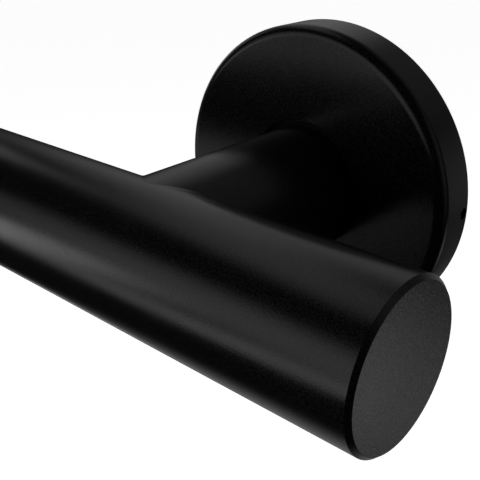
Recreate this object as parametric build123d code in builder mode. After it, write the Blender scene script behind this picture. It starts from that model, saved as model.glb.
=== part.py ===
from build123d import *
import os

# Wall-mounted grab bar: a round rail welded to two posts, each foot under a round cover flange.
# Millimetres. The wall is the plane Y = 0 and the origin is the centre of the right foot on it.
# The rail runs along X, the part stands out from the wall towards -Y, and +Z is up.

# Rail
rail_diameter = 31.75
rail_wall = 1.5
rail_stand_off = 66.0  # wall to the rail's axis
post_spacing = 610.0  # between the posts' centres
rail_overhang = 62.5  # post's centre to the rail's end
end_cap_thickness = 3.0
end_cap_chamfer = 0.85
end_plug_length = 8.0
end_plug_lead = 0.8  # chamfer that leads the plug into the tube

# Posts
post_undersize = 0.35  # a post is this much thinner than the rail, so that its cope ends on the rail
post_wall = 2.0
rail_weld_radius = 1.6  # dressed weld where a post meets the rail
foot_weld_leg = 0.8  # weld where a post meets its base

# Mounting bases
base_thickness = 4.0
base_edge_chamfer = 0.5
collar_wall = 4.5  # ring that holds the foot of the post and carries the cover
fixing_count = 3
fixing_circle_diameter = 55.0
fixing_hole_diameter = 6.5
fixing_start_angle = 90.0  # one hole is straight above the post

# Cover flanges
cover_diameter = 80.4
cover_height = 12.0
cover_wall = 1.6
cover_edge_radius = 2.6
cover_hole_edge = 0.25  # break on the front edge of the hole

# Set screws that hold the covers on
screw_diameter = 2.5
screw_length = 5.0
screw_recess = 0.4  # below the cover's rim
screw_end_chamfer = 0.3
screw_socket_sides = 6
screw_socket_width = 1.3  # across flats
screw_socket_depth = 1.3
screw_hole_depth = 6.5  # into the base, from its edge

# Clearances, all round
plug_clearance = 0.1  # end plug in the rail
socket_clearance = 0.1  # post in its collar
cover_clearance = 0.2  # cover on its base
post_gap = 1.4  # open ring between a post and its cover
thread_clearance = 0.05  # set screw in the base
screw_clearance = 0.15  # set screw in the cover

# Worked out from the sizes above
rail_radius = rail_diameter / 2
rail_bore_radius = rail_radius - rail_wall
post_diameter = rail_diameter - post_undersize
post_radius = post_diameter / 2
post_bore_radius = post_radius - post_wall
post_length = rail_stand_off - base_thickness  # before the cope is cut
cover_radius = cover_diameter / 2
cover_bore_radius = cover_radius - cover_wall
cover_hole_radius = post_radius + post_gap
collar_bore_radius = post_radius + socket_clearance
collar_radius = collar_bore_radius + collar_wall
collar_height = cover_height - cover_wall  # the cover's face rests on the collar
base_radius = cover_bore_radius - cover_clearance
screw_radius = screw_diameter / 2
screw_height = base_thickness / 2  # wall to the screw's axis
tube_end = rail_overhang - end_cap_thickness  # post's centre to the tube's end
sides = {"right": (0.0, 1), "left": (-post_spacing, -1)}  # foot's centre along X, way outwards

os.makedirs("parts", exist_ok=True)

# Rail tube: one length, from cap to cap
with BuildPart() as rail_tube:
    with BuildSketch(Plane((tube_end, -rail_stand_off, 0), x_dir=(0, 1, 0), z_dir=(-1, 0, 0))):
        Circle(rail_radius)
        Circle(rail_bore_radius, mode=Mode.SUBTRACT)
    extrude(amount=post_spacing + 2 * tube_end)

rail_tube.part.label = "rail_tube"
export_step(rail_tube.part, "parts/rail_tube.step")

for side, (foot_x, outward) in sides.items():
    along_rail = Axis((foot_x, 0, 0), (outward, 0, 0))
    from_wall = Axis((foot_x, 0, 0), (0, -1, 0))
    wall_plane = Plane((foot_x, 0, 0), x_dir=(1, 0, 0), z_dir=(0, -1, 0))
    foot_plane = wall_plane.offset(base_thickness)
    section_plane = Plane((foot_x, 0, 0), x_dir=(1, 0, 0), z_dir=(0, 0, -1))
    rail_plane = Plane((foot_x, -rail_stand_off, 0), x_dir=(0, 1, 0), z_dir=(outward, 0, 0))
    screw_plane = Plane((foot_x, -screw_height, 0), x_dir=(0, 1, 0), z_dir=(outward, 0, 0))

    # End cap: a chamfered disc over the tube's end, on a plug that fits the bore
    with BuildPart() as end_cap:
        with BuildSketch(rail_plane.offset(tube_end)):
            Circle(rail_radius)
        extrude(amount=end_cap_thickness)
        chamfer(end_cap.edges().sort_by(along_rail)[-1], end_cap_chamfer)
        with BuildSketch(rail_plane.offset(tube_end)):
            Circle(rail_bore_radius - plug_clearance)
        extrude(amount=-end_plug_length)
        chamfer(end_cap.edges().sort_by(along_rail)[0], end_plug_lead)

    end_cap.part.label = f"{side}_end_cap"
    export_step(end_cap.part, f"parts/{side}_end_cap.step")

    # Post: a tube coped to the rail. A stub of rail is joined on so that the weld can be
    # rounded into both, then the rail's own round is cut away and leaves the saddle.
    with BuildPart() as post:
        with BuildSketch(foot_plane):
            Circle(post_radius)
        extrude(amount=post_length)
        with BuildSketch(rail_plane):
            Circle(rail_radius)
        extrude(amount=post_diameter, both=True)
        fillet(post.edges().filter_by(GeomType.BSPLINE), rail_weld_radius)
        with BuildSketch(foot_plane):
            Circle(post_bore_radius)
        extrude(amount=post_length, mode=Mode.SUBTRACT)
        with BuildSketch(rail_plane):
            Circle(rail_radius)
        extrude(amount=post_diameter, both=True, mode=Mode.SUBTRACT)

    post.part.label = f"{side}_post"
    export_step(post.part, f"parts/{side}_post.step")

    # Mounting base: a drilled plate with a collar that the post's foot stands in
    with BuildPart() as mounting_base:
        with BuildSketch(wall_plane):
            Circle(base_radius)
        extrude(amount=base_thickness)
        chamfer(mounting_base.edges().sort_by(from_wall)[-1], base_edge_chamfer)
        with BuildSketch(foot_plane):
            Circle(collar_radius)
            Circle(collar_bore_radius, mode=Mode.SUBTRACT)
        extrude(amount=collar_height - base_thickness)
        with BuildSketch(section_plane):
            with BuildLine():
                Polyline(
                    (post_radius, collar_height),
                    (post_radius + foot_weld_leg, collar_height),
                    (post_radius, collar_height + foot_weld_leg),
                    close=True,
                )
            make_face()
        revolve(axis=from_wall)
        with BuildSketch(wall_plane):
            with PolarLocations(fixing_circle_diameter / 2, fixing_count, fixing_start_angle):
                Circle(fixing_hole_diameter / 2)
        extrude(amount=base_thickness, mode=Mode.SUBTRACT)
        with BuildSketch(screw_plane.offset(base_radius)):
            Circle(screw_radius + thread_clearance)
        extrude(amount=-screw_hole_depth, mode=Mode.SUBTRACT)

    mounting_base.part.label = f"{side}_mounting_base"
    export_step(mounting_base.part, f"parts/{side}_mounting_base.step")

    # Cover flange: a shallow cup with a rounded edge and a hole that clears the post
    with BuildPart() as cover_flange:
        with BuildSketch(section_plane) as cup_section:
            with BuildLine():
                Polyline(
                    (cover_hole_radius, collar_height),
                    (cover_hole_radius, cover_height),
                    (cover_radius, cover_height),
                    (cover_radius, 0),
                    (cover_bore_radius, 0),
                    (cover_bore_radius, collar_height),
                    close=True,
                )
            make_face()
            outer_corner = cup_section.vertices().sort_by_distance((cover_radius, cover_height))[0]
            fillet(outer_corner, cover_edge_radius)
            inner_corner = cup_section.vertices().sort_by_distance((cover_bore_radius, collar_height))[0]
            fillet(inner_corner, cover_edge_radius - cover_wall)
            hole_corner = cup_section.vertices().sort_by_distance((cover_hole_radius, cover_height))[0]
            fillet(hole_corner, cover_hole_edge)
        revolve(axis=from_wall)
        with BuildSketch(screw_plane.offset(cover_radius)):
            Circle(screw_radius + screw_clearance)
        extrude(amount=-2 * cover_wall, mode=Mode.SUBTRACT)

    cover_flange.part.label = f"{side}_cover_flange"
    export_step(cover_flange.part, f"parts/{side}_cover_flange.step")

# Set screws: one through the rim of each cover into the edge of its base
with BuildPart() as set_screws:
    for foot_x, outward in sides.values():
        head_plane = Plane(
            (foot_x + outward * (cover_radius - screw_recess), -screw_height, 0),
            x_dir=(0, 1, 0),
            z_dir=(outward, 0, 0),
        )
        with BuildSketch(head_plane):
            Circle(screw_radius)
        shank = extrude(amount=-screw_length)
        chamfer(shank.edges().filter_by(GeomType.CIRCLE), screw_end_chamfer)
        with BuildSketch(head_plane):
            RegularPolygon(screw_socket_width / 2, screw_socket_sides, major_radius=False)
        extrude(amount=-screw_socket_depth, mode=Mode.SUBTRACT)

set_screws.part.label = "set_screws"
export_step(set_screws.part, "parts/set_screws.step")
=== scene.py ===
import bmesh
import bpy
from math import acos, cos, pi, radians, sin, sqrt, tan, tau
from mathutils import Matrix, Vector


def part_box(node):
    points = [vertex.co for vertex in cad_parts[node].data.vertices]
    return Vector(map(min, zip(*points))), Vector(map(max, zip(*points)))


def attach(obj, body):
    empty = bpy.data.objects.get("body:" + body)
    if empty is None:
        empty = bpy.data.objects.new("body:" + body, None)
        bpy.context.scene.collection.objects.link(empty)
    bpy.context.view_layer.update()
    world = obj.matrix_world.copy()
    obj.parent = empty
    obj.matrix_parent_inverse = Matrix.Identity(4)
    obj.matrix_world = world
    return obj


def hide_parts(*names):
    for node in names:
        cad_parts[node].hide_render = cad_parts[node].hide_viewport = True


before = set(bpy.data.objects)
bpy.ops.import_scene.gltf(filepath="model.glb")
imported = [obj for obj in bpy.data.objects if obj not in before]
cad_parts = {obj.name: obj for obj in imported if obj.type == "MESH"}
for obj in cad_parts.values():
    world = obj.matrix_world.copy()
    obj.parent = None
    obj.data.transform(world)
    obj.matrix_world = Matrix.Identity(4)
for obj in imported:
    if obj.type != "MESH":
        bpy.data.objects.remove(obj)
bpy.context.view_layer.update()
mm = 0.001

# the rail's and the feet's places, read from the frame
railLow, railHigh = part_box("rail_tube")
railRadius = (railHigh.z - railLow.z) / 2
railDepth = (railLow.y + railHigh.y) / 2
outwards = {"right": 1, "left": -1}  # the way out along X, for each side


def middleX(node):
    low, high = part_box(node)
    return (low.x + high.x) / 2


footX = {side: middleX(side + "_cover_flange") for side in outwards}


def turnOutwards(side):
    # local X runs away from the bar's middle
    return Matrix.Rotation(0 if outwards[side] > 0 else pi, 4, "Z")


def fromWall(side):
    # local X runs out from the wall, along the foot's own axis
    return Matrix.Translation((footX[side], 0, 0)) @ Matrix.Rotation(-pi / 2, 4, "Z")


def alongRail(side):
    # local X runs outwards along the rail's axis, from where the post meets it
    return Matrix.Translation((footX[side], railDepth, 0)) @ turnOutwards(side)


# shared shape tools
shaping = {
    "segments": 288,          # round a full turn
    "arcSteps": 10,           # in a quarter turn of a rounded corner
    "fewestSteps": 3,         # in any rounded corner
    "supportGap": 0.05 * mm,  # keeps the shading of a flat flat, up to its rounding
    "sharpAngle": radians(38),
    "tiny": 1e-7,             # a smaller radius is a pole, and points that close are one
}


def roundCorner(before, corner, after, radius):
    # points of the arc that rounds a corner, with a support point on each straight side
    corner = Vector(corner)
    sideBefore = (Vector(before) - corner).normalized()
    sideAfter = (Vector(after) - corner).normalized()
    halfAngle = acos(max(-1, min(1, sideBefore.dot(sideAfter)))) / 2
    reach = radius / tan(halfAngle)
    centre = corner + (sideBefore + sideAfter).normalized() * (radius / sin(halfAngle))
    start = corner + sideBefore * reach - centre
    end = corner + sideAfter * reach - centre
    turn = pi - 2 * halfAngle
    steps = max(shaping["fewestSteps"], round(shaping["arcSteps"] * turn / (pi / 2)))
    arc = []
    for k in range(steps + 1):
        share = k / steps
        arc.append(centre + (start * sin((1 - share) * turn) + end * sin(share * turn)) / sin(turn))
    gap = shaping["supportGap"]
    return [arc[0] + sideBefore * gap] + arc + [arc[-1] + sideAfter * gap]


def outlineOf(corners):
    # corners are (along, radius, rounding); a closed outline comes back
    points = []
    for k, (along, radius, rounding) in enumerate(corners):
        if rounding == 0:
            points.append(Vector((along, radius)))
        else:
            before = corners[k - 1][:2]
            after = corners[(k + 1) % len(corners)][:2]
            points += roundCorner(before, (along, radius), after, rounding)
    return points


def gridMesh(name, rings, closedAcross):
    # rings are lists of points; a ring of one point is a pole
    vertices = []
    starts = []
    faces = []
    for ring in rings:
        starts.append(len(vertices))
        vertices += [tuple(point) for point in ring]
    pairs = list(zip(range(len(rings)), range(1, len(rings))))
    if closedAcross:
        pairs.append((len(rings) - 1, 0))
    for a, b in pairs:
        countA = len(rings[a])
        countB = len(rings[b])
        around = max(countA, countB)
        for k in range(around):
            n = (k + 1) % around
            if countA == 1 and countB > 1:
                faces.append((starts[a], starts[b] + n, starts[b] + k))
            elif countB == 1 and countA > 1:
                faces.append((starts[a] + k, starts[a] + n, starts[b]))
            elif countA > 1:
                faces.append((starts[a] + k, starts[a] + n, starts[b] + n, starts[b] + k))
    mesh = bpy.data.meshes.new(name)
    mesh.from_pydata(vertices, [], faces)
    return mesh


def latheMesh(name, outline, place):
    # turns a closed outline of (along, radius) about local X; a point at radius 0 is a pole
    rings = []
    for along, radius in outline:
        count = shaping["segments"] if radius > shaping["tiny"] else 1
        rings.append([place @ Vector((along, radius * cos(tau * k / count), radius * sin(tau * k / count)))
                      for k in range(count)])
    closed = all(len(ring) > 1 for ring in rings)
    return gridMesh(name, rings, closed)


def faceOutwards(mesh):
    # merges what meets, then points every face outwards
    work = bmesh.new()
    work.from_mesh(mesh)
    bmesh.ops.remove_doubles(work, verts=work.verts, dist=shaping["tiny"])
    bmesh.ops.recalc_face_normals(work, faces=work.faces)
    work.to_mesh(mesh)
    work.free()


def newObject(name, data):
    made = bpy.data.objects.new(name, data)
    bpy.context.scene.collection.objects.link(made)
    return made


def bakeModifiers(piece):
    # the evaluated result becomes the piece's own plain mesh
    bpy.context.view_layer.update()
    graph = bpy.context.evaluated_depsgraph_get()
    mesh = bpy.data.meshes.new_from_object(piece.evaluated_get(graph))
    piece.modifiers.clear()
    piece.data = mesh
    mesh.name = piece.name


def cutAway(piece, cutters):
    for cutter in cutters:
        cut = piece.modifiers.new("cut", "BOOLEAN")
        cut.operation = "DIFFERENCE"
        cut.solver = "EXACT"
        cut.object = cutter
    bakeModifiers(piece)
    for cutter in cutters:
        bpy.data.objects.remove(cutter)


def roundCutter(radius, length, place):
    # a plain drill, from local X 0 to its length
    drill = [(0, 0, 0), (0, radius, 0), (length, radius, 0), (length, 0, 0)]
    mesh = latheMesh("drill", outlineOf(drill), place)
    faceOutwards(mesh)
    return newObject("drill", mesh)


def startTree(name, inputs):
    # a geometry tree with named inputs, each with its socket's kind
    tree = bpy.data.node_groups.new(name, "GeometryNodeTree")
    tree.interface.new_socket("Geometry", in_out="OUTPUT", socket_type="NodeSocketGeometry")
    for label, kind in inputs.items():
        tree.interface.new_socket(label, in_out="INPUT", socket_type="NodeSocket" + kind)
    return tree, tree.nodes.new("NodeGroupInput")


def endTree(tree, geometry, material):
    real = tree.nodes.new("GeometryNodeRealizeInstances")
    dressed = tree.nodes.new("GeometryNodeSetMaterial")
    result = tree.nodes.new("NodeGroupOutput")
    tree.links.new(geometry, real.inputs["Geometry"])
    tree.links.new(real.outputs["Geometry"], dressed.inputs["Geometry"])
    tree.links.new(material, dressed.inputs["Material"])
    tree.links.new(dressed.outputs["Geometry"], result.inputs["Geometry"])


def growPiece(name, tree, values):
    # what the tree makes of the values, as a piece with a plain mesh
    piece = newObject(name, bpy.data.meshes.new(name))
    grow = piece.modifiers.new("grow", "NODES")
    grow.node_group = tree
    for socket in tree.interface.items_tree:
        if socket.in_out == "INPUT":
            grow[socket.identifier] = values[socket.name]
    bakeModifiers(piece)
    return piece


def finishPiece(piece, material, slot, *nodes):
    mesh = piece.data
    mesh.materials.clear()
    mesh.materials.append(material)
    mesh.polygons.foreach_set("use_smooth", [True] * len(mesh.polygons))
    mesh.set_sharp_from_angle(angle=shaping["sharpAngle"])
    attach(piece, "root")
    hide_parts(*nodes)
    print("made", piece.name, len(mesh.polygons), "faces")


# shared material tools
noiseKinds = {
    "grain": {"Detail": 3.0, "Roughness": 0.55},
    "swell": {"Detail": 2.0, "Roughness": 0.5},
    "cloud": {"Detail": 4.0, "Roughness": 0.6},
    "marks": {"Detail": 3.0, "Roughness": 0.6},
}
glossBand = {"From Min": 0.3, "From Max": 0.7}  # the part of a noise that runs from glossy to dull


def addNode(tree, kind, settings):
    # settings are socket names with their values
    node = tree.nodes.new(kind)
    for name, value in settings.items():
        node.inputs[name].default_value = value
    return node


def startMaterial(name):
    material = bpy.data.materials.new(name)
    material.use_nodes = True
    return material, material.node_tree.nodes["Principled BSDF"]


def addNoise(tree, kind, scale):
    noise = addNode(tree, "ShaderNodeTexNoise", {"Scale": scale, **noiseKinds[kind]})
    place = tree.nodes.new("ShaderNodeTexCoord")
    tree.links.new(place.outputs["Object"], noise.inputs["Vector"])
    return noise.outputs["Fac"]


def toneFrom(height, look, tree, shader):
    tone = tree.nodes.new("ShaderNodeValToRGB")
    dark = tone.color_ramp.elements[0]
    pale = tone.color_ramp.elements[1]
    dark.position = look["speckle"][0]
    pale.position = look["speckle"][1]
    dark.color = (*look["darkTone"], 1)
    pale.color = (*look["paleTone"], 1)
    tree.links.new(height, tone.inputs["Fac"])
    tree.links.new(tone.outputs["Color"], shader.inputs["Base Color"])


def glossFrom(height, look, tree, shader):
    glossy, dull = look["roughness"]
    gloss = addNode(tree, "ShaderNodeMapRange", {**glossBand, "To Min": glossy, "To Max": dull})
    tree.links.new(height, gloss.inputs["Value"])
    tree.links.new(gloss.outputs["Result"], shader.inputs["Roughness"])


def bumpFrom(height, look, depth, tree):
    bump = addNode(tree, "ShaderNodeBump", {"Strength": look["bumpStrength"], "Distance": depth})
    tree.links.new(height, bump.inputs["Height"])
    return bump


# powder coat: near black, with a fine speckled grain and a slow swell, as sprayed and baked
def powderCoat(name, look):
    material, shader = startMaterial(name)
    tree = material.node_tree
    grain = addNoise(tree, "grain", look["grainScale"])
    swell = addNoise(tree, "swell", look["swellScale"])
    cloud = addNoise(tree, "cloud", look["cloudScale"])
    toneFrom(grain, look, tree, shader)
    glossFrom(cloud, look, tree, shader)
    swellBump = bumpFrom(swell, look, look["swellDepth"], tree)
    grainBump = bumpFrom(grain, look, look["grainDepth"], tree)
    tree.links.new(swellBump.outputs["Normal"], grainBump.inputs["Normal"])
    tree.links.new(grainBump.outputs["Normal"], shader.inputs["Normal"])
    shader.inputs["IOR"].default_value = look["ior"]
    return material


railLook = {
    "darkTone": (0.002, 0.002, 0.0022), "paleTone": (0.024, 0.024, 0.025),
    "speckle": (0.40, 0.62),  # the part of the grain that runs from dark to pale
    "roughness": (0.19, 0.24), "ior": 1.5, "bumpStrength": 1.0,
    "grainScale": 3200, "grainDepth": 0.018 * mm,
    "swellScale": 420, "swellDepth": 0.004 * mm,
    "cloudScale": 60,
}
# the other coats are the rail's, apart from what each names
# the end face's coat: a coarser real grain, with pale flecks far paler than the coat itself, painted glints
# for the light its flat face catches
endFaceGrainGlintLook = {
    **railLook, "darkTone": (0.001, 0.001, 0.0011), "paleTone": (0.16, 0.16, 0.164),
    "speckle": (0.44, 0.62), "grainScale": 2500, "grainDepth": 0.036 * mm,
}
coverLook = {
    **railLook, "paleTone": (0.022, 0.022, 0.023), "roughness": (0.20, 0.24),
    "ior": 1.42, "grainScale": 2800, "cloudScale": 75,
}
baseLook = {**railLook, "roughness": (0.38, 0.46)}
railCoat = powderCoat("railPowderCoat", railLook)
endFaceGrainGlintCoat = powderCoat("capPowderCoat", endFaceGrainGlintLook)
coverCoat = powderCoat("coverPowderCoat", coverLook)
baseCoat = powderCoat("basePowderCoat", baseLook)


# screw steel: darkened, with a fine mottle
def blackOxide(name, look):
    material, shader = startMaterial(name)
    tree = material.node_tree
    marks = addNoise(tree, "marks", look["markScale"])
    toneFrom(marks, look, tree, shader)
    glossFrom(marks, look, tree, shader)
    bump = bumpFrom(marks, look, look["markDepth"], tree)
    tree.links.new(bump.outputs["Normal"], shader.inputs["Normal"])
    shader.inputs["Metallic"].default_value = 1.0
    return material


steelLook = {
    "darkTone": (0.05, 0.05, 0.053), "paleTone": (0.14, 0.14, 0.146), "speckle": (0, 1),
    "roughness": (0.32, 0.5), "bumpStrength": 0.6, "markScale": 5200, "markDepth": 0.004 * mm,
}
screwSteel = blackOxide("screwBlackOxide", steelLook)
print("materials ready")


# rail: a long narrow section carried round a circle, which closes into a tube with square ends
railTube = {"wall": 1.5 * mm}


def makeRail():
    tree, given = startTree("tubeRoundAxis", {
        "Outer Radius": "Float", "Wall": "Float", "Length": "Float",
        "Middle": "Vector", "Segments": "Int", "Coat": "Material",
    })
    link = tree.links.new
    midWall = tree.nodes.new("ShaderNodeMath")  # the outer radius less half the wall
    midWall.operation = "MULTIPLY_ADD"
    midWall.inputs[1].default_value = -0.5
    link(given.outputs["Wall"], midWall.inputs[0])
    link(given.outputs["Outer Radius"], midWall.inputs[2])
    hoop = tree.nodes.new("GeometryNodeCurvePrimitiveCircle")
    link(given.outputs["Segments"], hoop.inputs["Resolution"])
    link(midWall.outputs[0], hoop.inputs["Radius"])
    upright = tree.nodes.new("GeometryNodeSetCurveNormal")
    upright.mode = "Z_UP"
    link(hoop.outputs["Curve"], upright.inputs["Curve"])
    section = tree.nodes.new("GeometryNodeCurvePrimitiveQuadrilateral")
    section.mode = "RECTANGLE"
    link(given.outputs["Wall"], section.inputs["Width"])
    link(given.outputs["Length"], section.inputs["Height"])
    sweep = tree.nodes.new("GeometryNodeCurveToMesh")
    link(upright.outputs["Curve"], sweep.inputs["Curve"])
    link(section.outputs["Curve"], sweep.inputs["Profile Curve"])
    lay = addNode(tree, "GeometryNodeTransform", {"Rotation": (0, pi / 2, 0)})
    link(sweep.outputs["Mesh"], lay.inputs["Geometry"])
    link(given.outputs["Middle"], lay.inputs["Translation"])
    endTree(tree, lay.outputs["Geometry"], given.outputs["Coat"])

    piece = growPiece("railTube", tree, {
        "Outer Radius": railRadius, "Wall": railTube["wall"], "Length": railHigh.x - railLow.x,
        "Middle": ((railLow.x + railHigh.x) / 2, railDepth, 0),
        "Segments": shaping["segments"], "Coat": railCoat,
    })
    faceOutwards(piece.data)
    finishPiece(piece, railCoat, "rail_coating", "rail_tube")


makeRail()


# end caps: a disc with a flat chamfer over the tube's end, on a plug inside it
endCap = {
    "disc": 3.0 * mm, "chamfer": 0.85 * mm, "edgeRounding": 0.10 * mm,
    "plugInset": 1.6 * mm, "plugLead": 0.8 * mm,
    "squareOn": 0.999,  # a face turned out at least this far is the end face, which takes the grain with painted glints
}


def makeEndCap(side):
    low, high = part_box(side + "_end_cap")
    ends = [abs(low.x - footX[side]), abs(high.x - footX[side])]
    outer = max(ends)
    inner = min(ends)
    seat = outer - endCap["disc"]
    soft = endCap["edgeRounding"]
    plugRadius = railRadius - endCap["plugInset"]
    outline = outlineOf([
        (outer, 0, 0),
        (outer, railRadius - endCap["chamfer"], soft),
        (outer - endCap["chamfer"], railRadius, soft),
        (seat, railRadius, 0),
        (seat, plugRadius, 0),
        (inner + endCap["plugLead"], plugRadius, 0),
        (inner, plugRadius - endCap["plugLead"], 0),
        (inner, 0, 0),
    ])
    mesh = latheMesh(side + "EndCap", outline, alongRail(side))
    faceOutwards(mesh)
    finishPiece(newObject(side + "EndCap", mesh), railCoat, "rail_coating", side + "_end_cap")
    # the square end face takes the coat whose pale flecks are painted glints
    mesh.materials.append(endFaceGrainGlintCoat)
    for face in mesh.polygons:
        if face.normal.x * outwards[side] > endCap["squareOn"]:
            face.material_index = 1


for side in outwards:
    makeEndCap(side)


# posts: a tube coped to the rail, with the dressed weld as a ball rolled along the joint
post = {
    "radius": 15.7 * mm, "wall": 2.0 * mm, "weldRadius": 1.6 * mm, "foot": 4.0 * mm,
    "wallRings": (0, 0.2, 0.4, 0.6, 0.8, 0.95, 0.998),  # shares of the way from the foot to the weld
    "weldSteps": 14, "saddleSteps": 3,
}


def railSurface(x, z, centreX):
    # the point of the rail's skin that faces the wall
    return Vector((centreX + x, railDepth + sqrt(railRadius ** 2 - z ** 2), z))


def postSection(angle, centreX):
    # out along the post, over the weld, in along the rail's skin and back to the foot in the bore
    sideways = cos(angle)
    upwards = sin(angle)
    ball = post["weldRadius"]
    radius = post["radius"]
    bore = radius - post["wall"]
    foot = -post["foot"]
    ballX = (radius + ball) * sideways
    ballZ = (radius + ball) * upwards
    ballLift = sqrt((railRadius + ball) ** 2 - ballZ ** 2)
    centre = Vector((centreX + ballX, railDepth + ballLift, ballZ))
    toPost = Vector((-sideways, 0, -upwards))
    toRail = Vector((0, -ballLift, -ballZ)).normalized()
    points = []
    for share in post["wallRings"]:
        y = foot * (1 - share) + centre.y * share
        points.append(Vector((centreX + radius * sideways, y, radius * upwards)))
    turn = toPost.angle(toRail)
    for k in range(post["weldSteps"] + 1):
        share = k / post["weldSteps"]
        way = (toPost * sin((1 - share) * turn) + toRail * sin(share * turn)) / sin(turn)
        points.append(centre + way * ball)
    onRail = points[-1]
    for k in range(1, post["saddleSteps"] + 1):
        share = k / post["saddleSteps"]
        x = (onRail.x - centreX) * (1 - share) + bore * sideways * share
        z = onRail.z * (1 - share) + bore * upwards * share
        points.append(railSurface(x, z, centreX))
    points.append(Vector((centreX + bore * sideways, foot, bore * upwards)))
    return points


def makePost(side):
    count = shaping["segments"]
    sections = [postSection(tau * k / count, footX[side]) for k in range(count)]
    rings = [list(ring) for ring in zip(*sections)]
    mesh = gridMesh(side + "Post", rings, True)
    faceOutwards(mesh)
    finishPiece(newObject(side + "Post", mesh), railCoat, "rail_coating", side + "_post")


for side in outwards:
    makePost(side)


# cover flanges: a turned cup with a rounded front, an open hole for the post and a drilled rim
cover = {
    "wall": 1.6 * mm, "edgeRounding": 2.6 * mm, "backRounding": 0.15 * mm,
    "holeRadius": 17.1 * mm, "holeRounding": 0.25 * mm, "holeInnerRounding": 0.1 * mm,
    "screwHoleRadius": 1.4 * mm, "screwHeight": 2.0 * mm,
    "drillInside": 4.8 * mm, "drillOutside": 1.6 * mm,  # how far the drill reaches from the rim's skin
}


def screwDrill(side, radius, start, end):
    # start and end are measured outwards from the foot's axis
    spot = Matrix.Translation((footX[side], -cover["screwHeight"], 0))
    place = spot @ turnOutwards(side) @ Matrix.Translation((start, 0, 0))
    return roundCutter(radius, end - start, place)


def makeCover(side):
    low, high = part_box(side + "_cover_flange")
    radius = (high.z - low.z) / 2
    height = high.y - low.y
    inside = radius - cover["wall"]
    under = height - cover["wall"]
    outline = outlineOf([
        (0, radius, cover["backRounding"]),
        (height, radius, cover["edgeRounding"]),
        (height, cover["holeRadius"], cover["holeRounding"]),
        (under, cover["holeRadius"], cover["holeInnerRounding"]),
        (under, inside, cover["edgeRounding"] - cover["wall"]),
        (0, inside, cover["backRounding"]),
    ])
    mesh = latheMesh(side + "CoverFlange", outline, fromWall(side))
    faceOutwards(mesh)
    piece = newObject(side + "CoverFlange", mesh)
    start = radius - cover["drillInside"]
    end = radius + cover["drillOutside"]
    cutAway(piece, [screwDrill(side, cover["screwHoleRadius"], start, end)])
    finishPiece(piece, coverCoat, "cover_coating", side + "_cover_flange")


for side in outwards:
    makeCover(side)


# mounting bases: a drilled plate with a collar round the post's foot and a small weld bead
base = {
    "plate": 4.0 * mm, "edgeChamfer": 0.5 * mm, "cornerRounding": 0.2 * mm,
    "collarRadius": 20.3 * mm, "collarHeight": 10.4 * mm, "collarFillet": 0.4 * mm,
    "socketRadius": 15.8 * mm, "weldLeg": 0.8 * mm, "weldRounding": 0.05 * mm,
    "fixingCircle": 27.5 * mm, "fixingRadius": 3.25 * mm, "fixings": 3,
    "drillBehind": 4.0 * mm, "drillLength": 12.0 * mm,  # the fixing drill starts behind the plate
    "screwHoleRadius": 1.3 * mm, "screwHoleDepth": 6.5 * mm, "drillOutside": 4.0 * mm,
}


def fixingDrill(side, angle):
    x = footX[side] + base["fixingCircle"] * cos(angle)
    z = base["fixingCircle"] * sin(angle)
    place = Matrix.Translation((x, base["drillBehind"], z)) @ Matrix.Rotation(-pi / 2, 4, "Z")
    return roundCutter(base["fixingRadius"], base["drillLength"], place)


def makeBase(side):
    low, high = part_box(side + "_mounting_base")
    radius = (high.z - low.z) / 2
    soft = base["cornerRounding"]
    postEdge = post["radius"]
    outline = outlineOf([
        (0, 0, 0),
        (0, radius, soft),
        (base["plate"] - base["edgeChamfer"], radius, 0),
        (base["plate"], radius - base["edgeChamfer"], 0),
        (base["plate"], base["collarRadius"], base["collarFillet"]),
        (base["collarHeight"], base["collarRadius"], soft),
        (base["collarHeight"], postEdge + base["weldLeg"], base["weldRounding"]),
        (base["collarHeight"] + base["weldLeg"], postEdge, 0),
        (base["collarHeight"], postEdge, 0),
        (base["collarHeight"], base["socketRadius"], 0),
        (base["plate"], base["socketRadius"], 0),
        (base["plate"], 0, 0),
    ])
    mesh = latheMesh(side + "MountingBase", outline, fromWall(side))
    faceOutwards(mesh)
    piece = newObject(side + "MountingBase", mesh)
    drills = [fixingDrill(side, pi / 2 + tau * k / base["fixings"]) for k in range(base["fixings"])]
    start = radius - base["screwHoleDepth"]
    end = radius + base["drillOutside"]
    drills.append(screwDrill(side, base["screwHoleRadius"], start, end))
    cutAway(piece, drills)
    finishPiece(piece, baseCoat, "base_coating", side + "_mounting_base")


for side in outwards:
    makeBase(side)


# set screws: one threaded shank with a hexagon socket, repeated at each foot
setScrew = {
    "radius": 1.25 * mm, "length": 5.0 * mm, "endChamfer": 0.3 * mm,
    "pitch": 0.45 * mm, "threadDepth": 0.24 * mm,
    "socketAcrossFlats": 1.3 * mm, "socketDepth": 1.3 * mm,
    "turnSteps": 40, "stepsAPitch": 8,
}


def screwRadius(along, angle):
    # a V thread that fades out at both chamfered ends
    share = (along / setScrew["pitch"] - angle / tau) % 1
    groove = setScrew["threadDepth"] * (1 - abs(2 * share - 1))
    toEnd = min(along, setScrew["length"] - along)
    chamfered = setScrew["radius"] - max(0, setScrew["endChamfer"] - toEnd)
    return min(setScrew["radius"] - groove, chamfered)


def hexRadius(angle):
    sixth = tau / 6
    return setScrew["socketAcrossFlats"] / 2 / cos((angle % sixth) - sixth / 2)


def screwRing(along, radiusAt):
    count = setScrew["turnSteps"]
    angles = [tau * k / count for k in range(count)]
    return [Vector((along, radiusAt(angle) * cos(angle), radiusAt(angle) * sin(angle))) for angle in angles]


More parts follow.
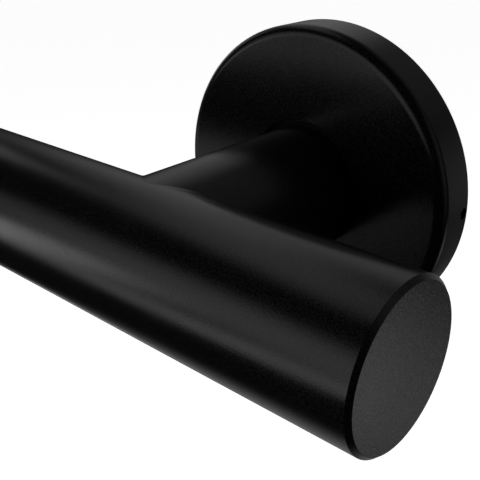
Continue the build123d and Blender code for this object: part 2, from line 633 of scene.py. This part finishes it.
def screwMesh():
    # local X runs outwards, and the socket's face is at 0
    length = setScrew["length"]
    depth = setScrew["socketDepth"]
    steps = round(length / setScrew["pitch"] * setScrew["stepsAPitch"])
    rings = [[Vector((-length, 0, 0))]]
    for k in range(steps + 1):
        along = length * k / steps
        rings.append(screwRing(along - length, lambda angle: screwRadius(along, angle)))
    rings.append(screwRing(0, hexRadius))
    rings.append(screwRing(-depth, hexRadius))
    rings.append([Vector((-depth - setScrew["endChamfer"], 0, 0))])
    mesh = gridMesh("setScrewShape", rings, False)
    faceOutwards(mesh)
    return mesh


def makeSetScrews():
    tree, given = startTree("screwAtEachFoot", {
        "Screw": "Object", "First": "Vector", "Step": "Vector",
        "Count": "Int", "Turn Each": "Float", "Steel": "Material",
    })
    link = tree.links.new
    row = tree.nodes.new("GeometryNodeMeshLine")
    row.mode = "OFFSET"
    link(given.outputs["Count"], row.inputs["Count"])
    link(given.outputs["First"], row.inputs["Start Location"])
    link(given.outputs["Step"], row.inputs["Offset"])
    source = tree.nodes.new("GeometryNodeObjectInfo")
    link(given.outputs["Screw"], source.inputs["Object"])
    index = tree.nodes.new("GeometryNodeInputIndex")
    turn = tree.nodes.new("ShaderNodeMath")
    turn.operation = "MULTIPLY"
    link(index.outputs[0], turn.inputs[0])
    link(given.outputs["Turn Each"], turn.inputs[1])
    spin = tree.nodes.new("ShaderNodeCombineXYZ")
    link(turn.outputs[0], spin.inputs["Z"])
    put = tree.nodes.new("GeometryNodeInstanceOnPoints")
    link(row.outputs["Mesh"], put.inputs["Points"])
    link(source.outputs["Geometry"], put.inputs["Instance"])
    link(spin.outputs["Vector"], put.inputs["Rotation"])
    endTree(tree, put.outputs["Instances"], given.outputs["Steel"])

    shape = newObject("setScrewShape", screwMesh())
    low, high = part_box("set_screws")
    piece = growPiece("setScrews", tree, {
        "Screw": shape, "First": (high.x, (low.y + high.y) / 2, 0), "Step": (low.x - high.x, 0, 0),
        "Count": len(outwards), "Turn Each": pi, "Steel": screwSteel,
    })
    bpy.data.objects.remove(shape)
    finishPiece(piece, screwSteel, "screw_steel", "set_screws")


makeSetScrews()


# stage: a pale floor and surround that only the camera sees; the coat mirrors the panels and a faint fill
stage = {
    "floorDrop": 0.45, "floorSize": 40.0, "floorTone": 0.8, "floorGlow": 0.97,
    "surround": 0.005,  # how strongly the white surround lights the bar
}


def makeFloor():
    half = stage["floorSize"] / 2
    corners = [(-half, -half), (half, -half), (half, half), (-half, half)]
    mesh = bpy.data.meshes.new("floor")
    mesh.from_pydata([(x, y, -stage["floorDrop"]) for x, y in corners], [], [(0, 1, 2, 3)])
    floor = newObject("floor", mesh)
    pale, shader = startMaterial("paleFloor")
    tone = stage["floorTone"]
    shader.inputs["Base Color"].default_value = (tone, tone, tone, 1)
    shader.inputs["Roughness"].default_value = 1.0
    shader.inputs["Specular IOR Level"].default_value = 0.0
    shader.inputs["Emission Color"].default_value = (1, 1, 1, 1)
    shader.inputs["Emission Strength"].default_value = stage["floorGlow"]
    mesh.materials.append(pale)
    floor.visible_glossy = False
    floor.visible_diffuse = False


def makeSurround():
    world = bpy.data.worlds.new("studio")
    bpy.context.scene.world = world
    world.use_nodes = True
    tree = world.node_tree
    seen = tree.nodes["Background"]
    seen.inputs["Color"].default_value = (1, 1, 1, 1)
    dim = addNode(tree, "ShaderNodeBackground", {"Color": (1, 1, 1, 1), "Strength": stage["surround"]})
    ray = tree.nodes.new("ShaderNodeLightPath")
    mix = tree.nodes.new("ShaderNodeMixShader")
    tree.links.new(ray.outputs["Is Camera Ray"], mix.inputs["Fac"])
    tree.links.new(dim.outputs["Background"], mix.inputs[1])
    tree.links.new(seen.outputs["Background"], mix.inputs[2])
    tree.links.new(mix.outputs["Shader"], tree.nodes["World Output"].inputs["Surface"])
    bpy.context.scene.view_settings.view_transform = "Standard"


makeFloor()
makeSurround()


# soft panels, placed by azimuth and elevation seen from the right post; azimuth 0 is straight in front
panelShape = {
    "distance": 1.3,
    "core": 0.2,  # the share of its half width that shines evenly, before it fades to its edge
}


def softenEdge(lamp):
    lamp.use_nodes = True
    tree = lamp.node_tree
    link = tree.links.new
    half = 0.5  # a panel's own coordinates run from 0 to 1
    spot = tree.nodes.new("ShaderNodeNewGeometry")
    split = tree.nodes.new("ShaderNodeSeparateXYZ")
    flat = tree.nodes.new("ShaderNodeCombineXYZ")
    away = tree.nodes.new("ShaderNodeVectorMath")
    away.operation = "DISTANCE"
    away.inputs[1].default_value = (half, half, 0)
    fade = addNode(tree, "ShaderNodeMapRange", {
        "From Min": panelShape["core"] * half, "From Max": half, "To Min": 1, "To Max": 0,
    })
    fade.interpolation_type = "SMOOTHSTEP"
    link(spot.outputs["Parametric"], split.inputs["Vector"])
    link(split.outputs["X"], flat.inputs["X"])
    link(split.outputs["Y"], flat.inputs["Y"])
    link(flat.outputs["Vector"], away.inputs[0])
    link(away.outputs["Value"], fade.inputs["Value"])
    link(fade.outputs["Result"], tree.nodes["Emission"].inputs["Strength"])


def makePanel(name, look):
    azimuth = radians(look["azimuth"])
    elevation = radians(look["elevation"])
    away = Vector((sin(azimuth) * cos(elevation), -cos(azimuth) * cos(elevation), sin(elevation)))
    lamp = bpy.data.lights.new(name, "AREA")
    lamp.shape = "RECTANGLE"
    lamp.size = look["width"]
    lamp.size_y = look["height"]
    lamp.energy = look["glow"] * look["width"] * look["height"] * pi
    softenEdge(lamp)
    panel = newObject(name, lamp)
    aim = (-away).to_track_quat("-Z", "Y").to_matrix().to_4x4()
    place = Matrix.Translation(Vector((0, railDepth / 2, 0)) + away * panelShape["distance"])
    panel.matrix_world = place @ aim @ Matrix.Rotation(radians(look["turn"]), 4, "Z")
    panel.visible_camera = False


# azimuth, elevation and turn in degrees, width and height in metres
panels = {
    "frontPanel": dict(azimuth=-20, elevation=9, turn=-13, width=3.00, height=1.30, glow=0.63),
    "keyPanel": dict(azimuth=-54, elevation=-8, turn=42, width=1.05, height=0.50, glow=1.45),
    "keyLowPanel": dict(azimuth=-30, elevation=-15, turn=17, width=1.55, height=0.48, glow=0.88),
    "topPanel": dict(azimuth=-102, elevation=57, turn=37, width=2.05, height=0.95, glow=0.41),
    "backPanel": dict(azimuth=-140, elevation=25, turn=90, width=1.75, height=1.45, glow=0.32),
    "backLowPanel": dict(azimuth=-174, elevation=-14, turn=-25, width=2.80, height=1.55, glow=0.19),
    "lowPanel": dict(azimuth=-137, elevation=-64, turn=-12, width=1.90, height=2.50, glow=0.27),
    "leftPanel": dict(azimuth=-107, elevation=-5, turn=80, width=3.00, height=0.58, glow=0.80),
    "endPanel": dict(azimuth=139, elevation=-34, turn=-25, width=0.78, height=0.70, glow=0.51),
    "sidePanel": dict(azimuth=103, elevation=12, turn=-10, width=1.50, height=2.40, glow=0.17),
    "rimPanel": dict(azimuth=151, elevation=-5, turn=0, width=0.75, height=1.10, glow=0.11),
    "rearTopPanel": dict(azimuth=164, elevation=45, turn=0, width=2.90, height=2.50, glow=0.10),
}
for name, look in panels.items():
    makePanel(name, look)


# camera: close to the right end, above it and to its right, as the photograph was taken
cameraLook = {
    "place": (109.03 * mm, -156.40 * mm, 68.81 * mm),
    "azimuth": 42.09, "tiltDown": 25.02, "roll": -0.56,
    "lens": 55.86, "sensor": 36.0,
    "clipStart": 0.01, "clipEnd": 100,
}


def makeCamera():
    data = bpy.data.cameras.new("camera")
    data.lens = cameraLook["lens"]
    data.sensor_width = cameraLook["sensor"]
    data.clip_start = cameraLook["clipStart"]
    data.clip_end = cameraLook["clipEnd"]
    camera = newObject("camera", data)
    turn = Matrix.Rotation(radians(cameraLook["azimuth"]), 4, "Z")
    tilt = Matrix.Rotation(radians(90 - cameraLook["tiltDown"]), 4, "X")
    roll = Matrix.Rotation(radians(cameraLook["roll"]), 4, "Z")
    camera.matrix_world = Matrix.Translation(cameraLook["place"]) @ turn @ tilt @ roll
    bpy.context.scene.camera = camera


makeCamera()
print("stage ready")
